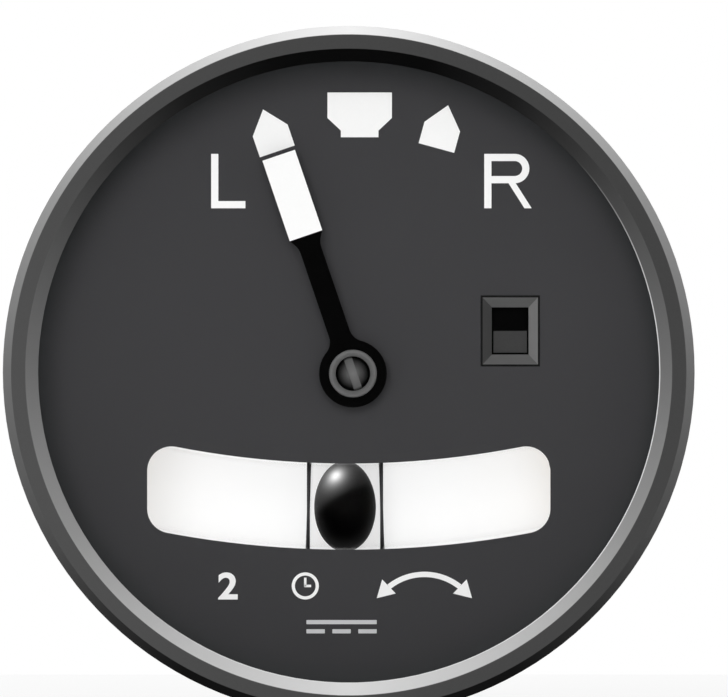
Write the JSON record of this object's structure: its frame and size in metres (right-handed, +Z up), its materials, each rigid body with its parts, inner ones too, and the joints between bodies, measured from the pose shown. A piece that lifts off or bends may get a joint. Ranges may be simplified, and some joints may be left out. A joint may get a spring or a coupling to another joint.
{
  "type": "turn and slip indicator",
  "caption": "Round panel instrument with a turn needle driven by a tilting gyro, a ball in a curved slip tube below it, a power flag window, and a rear receptacle.",
  "frame": {"origin": "on the case axis, in the plane where the back of the bezel seats on a panel", "axes": "+X to the right seen from the front, +Y back along the case, away from the viewer, +Z up"},
  "size_m": [0.0826, 0.13, 0.0826],
  "materials": {
    "black_paint": "matt black enamel",
    "bezel_grey": "satin dark grey enamel",
    "dial_grey": "matt dark grey",
    "white_paint": "matt white",
    "flag_field": "matt grey field and red field",
    "collar_grey": "satin grey",
    "cover_glass": "clear",
    "tube_glass": "clear",
    "ball_black": "gloss black",
    "black_rubber": "matt",
    "bare_aluminium": "machined",
    "plain_brass": "machined",
    "plain_steel": "turned",
    "copper": "bright copper bars",
    "magnet_iron": "ground",
    "insulator": "moulded brown",
    "carbon": "pressed carbon",
    "wire_cover": "sleeving"
  },
  "bodies": {
    "case": {"case_barrel": "black_paint", "bezel": "bezel_grey", "bezel_screws": "plain_steel", "front_glass": "cover_glass", "glass_gasket": "black_rubber", "glass_spacer": "black_paint", "dial_plate": "dial_grey", "dial_marks": "white_paint", "flag_frame": "dial_grey", "dial_support": "black_paint", "front_plate": "black_paint", "rear_plate": "bare_aluminium", "frame_posts": "bare_aluminium", "frame_screws": "plain_steel", "gimbal_bearings": "plain_brass", "pointer_bushes": "plain_brass", "pointer_bridge": "plain_brass", "slip_tube": "tube_glass", "slip_wires": "dial_grey", "slip_cradle": "white_paint", "slip_caps": "plain_brass", "damper_cylinder": "plain_brass", "stop_pins": "plain_steel", "centring_spring": "plain_steel", "spring_bracket": "bare_aluminium", "spring_screw": "plain_brass", "flag_movement": "plain_steel", "capacitor": "bare_aluminium", "terminal_board": "insulator", "terminal_lugs": "plain_brass", "lead_wires": "wire_cover", "rear_cover": "black_paint", "rear_gasket": "black_rubber", "cover_screws": "plain_steel", "connector_shell": "bare_aluminium", "connector_insert": "insulator", "connector_pins": "plain_brass"},
    "gimbal": {"gimbal_frame": "bare_aluminium", "gimbal_pivots": "plain_steel", "sector_gear": "plain_brass", "rotor_bearings": "plain_steel", "bearing_caps": "plain_brass", "field_magnets": "magnet_iron", "brush_holders": "insulator", "brushes": "carbon", "gimbal_lever": "plain_steel"},
    "rotor": {"rotor_wheel": "plain_brass", "rotor_shaft": "plain_steel", "commutator": "copper"},
    "pointer": {"pointer_arm": "black_paint", "pointer_paint": "white_paint", "pointer_collar": "collar_grey", "pointer_screw": "collar_grey", "pointer_shaft": "plain_steel", "pinion": "plain_brass"},
    "damper": {"damper_piston": "plain_steel"},
    "ball": {"slip_ball": "ball_black"},
    "flag": {"flag_vane": "black_paint", "flag_paint": "flag_field"}
  },
  "joints": [
    {"name": "gimbal_tilt", "type": "hinge", "parent": "case", "child": "gimbal", "pos_m": [0.0005, 0.0515, -0.0122], "axis": [0, 1, 0], "range_deg": [-13.7, 4.3], "stiffness_Nm_per_rad": 0.02, "springref_deg": -4.7, "deforming": ["centring_spring"]},
    {"name": "rotor_spin", "type": "hinge", "parent": "gimbal", "child": "rotor", "pos_m": [0.0005, 0.0515, -0.0122], "axis": [0.9966, 0, -0.0819], "continuous": true},
    {"name": "pointer_turn", "type": "hinge", "parent": "case", "child": "pointer", "pos_m": [0.0005, 0.0177, -0.0002], "axis": [0, 1, 0], "range_deg": [-17.2, 54.8]},
    {"name": "damper_slide", "type": "slide", "parent": "case", "child": "damper", "axis": [1, 0, 0], "range_m": [-0.0043, 0.00136]},
    {"name": "ball_roll", "type": "hinge", "parent": "case", "child": "ball", "pos_m": [-0.00045, 0.0076, 0.0969], "axis": [0, 1, 0], "range_deg": [-11.2, 11.2]},
    {"name": "flag_swing", "type": "hinge", "parent": "case", "child": "flag", "pos_m": [0.0068, 0.0028, 0.0049], "axis": [0, 1, 0], "range_deg": [0, 31]}
  ],
  "couplings": [
    {"joint": "pointer_turn", "follows": "gimbal_tilt", "ratio": -4},
    {"joint": "damper_slide", "follows": "gimbal_tilt", "m_per_rad": 0.01793}
  ]
}
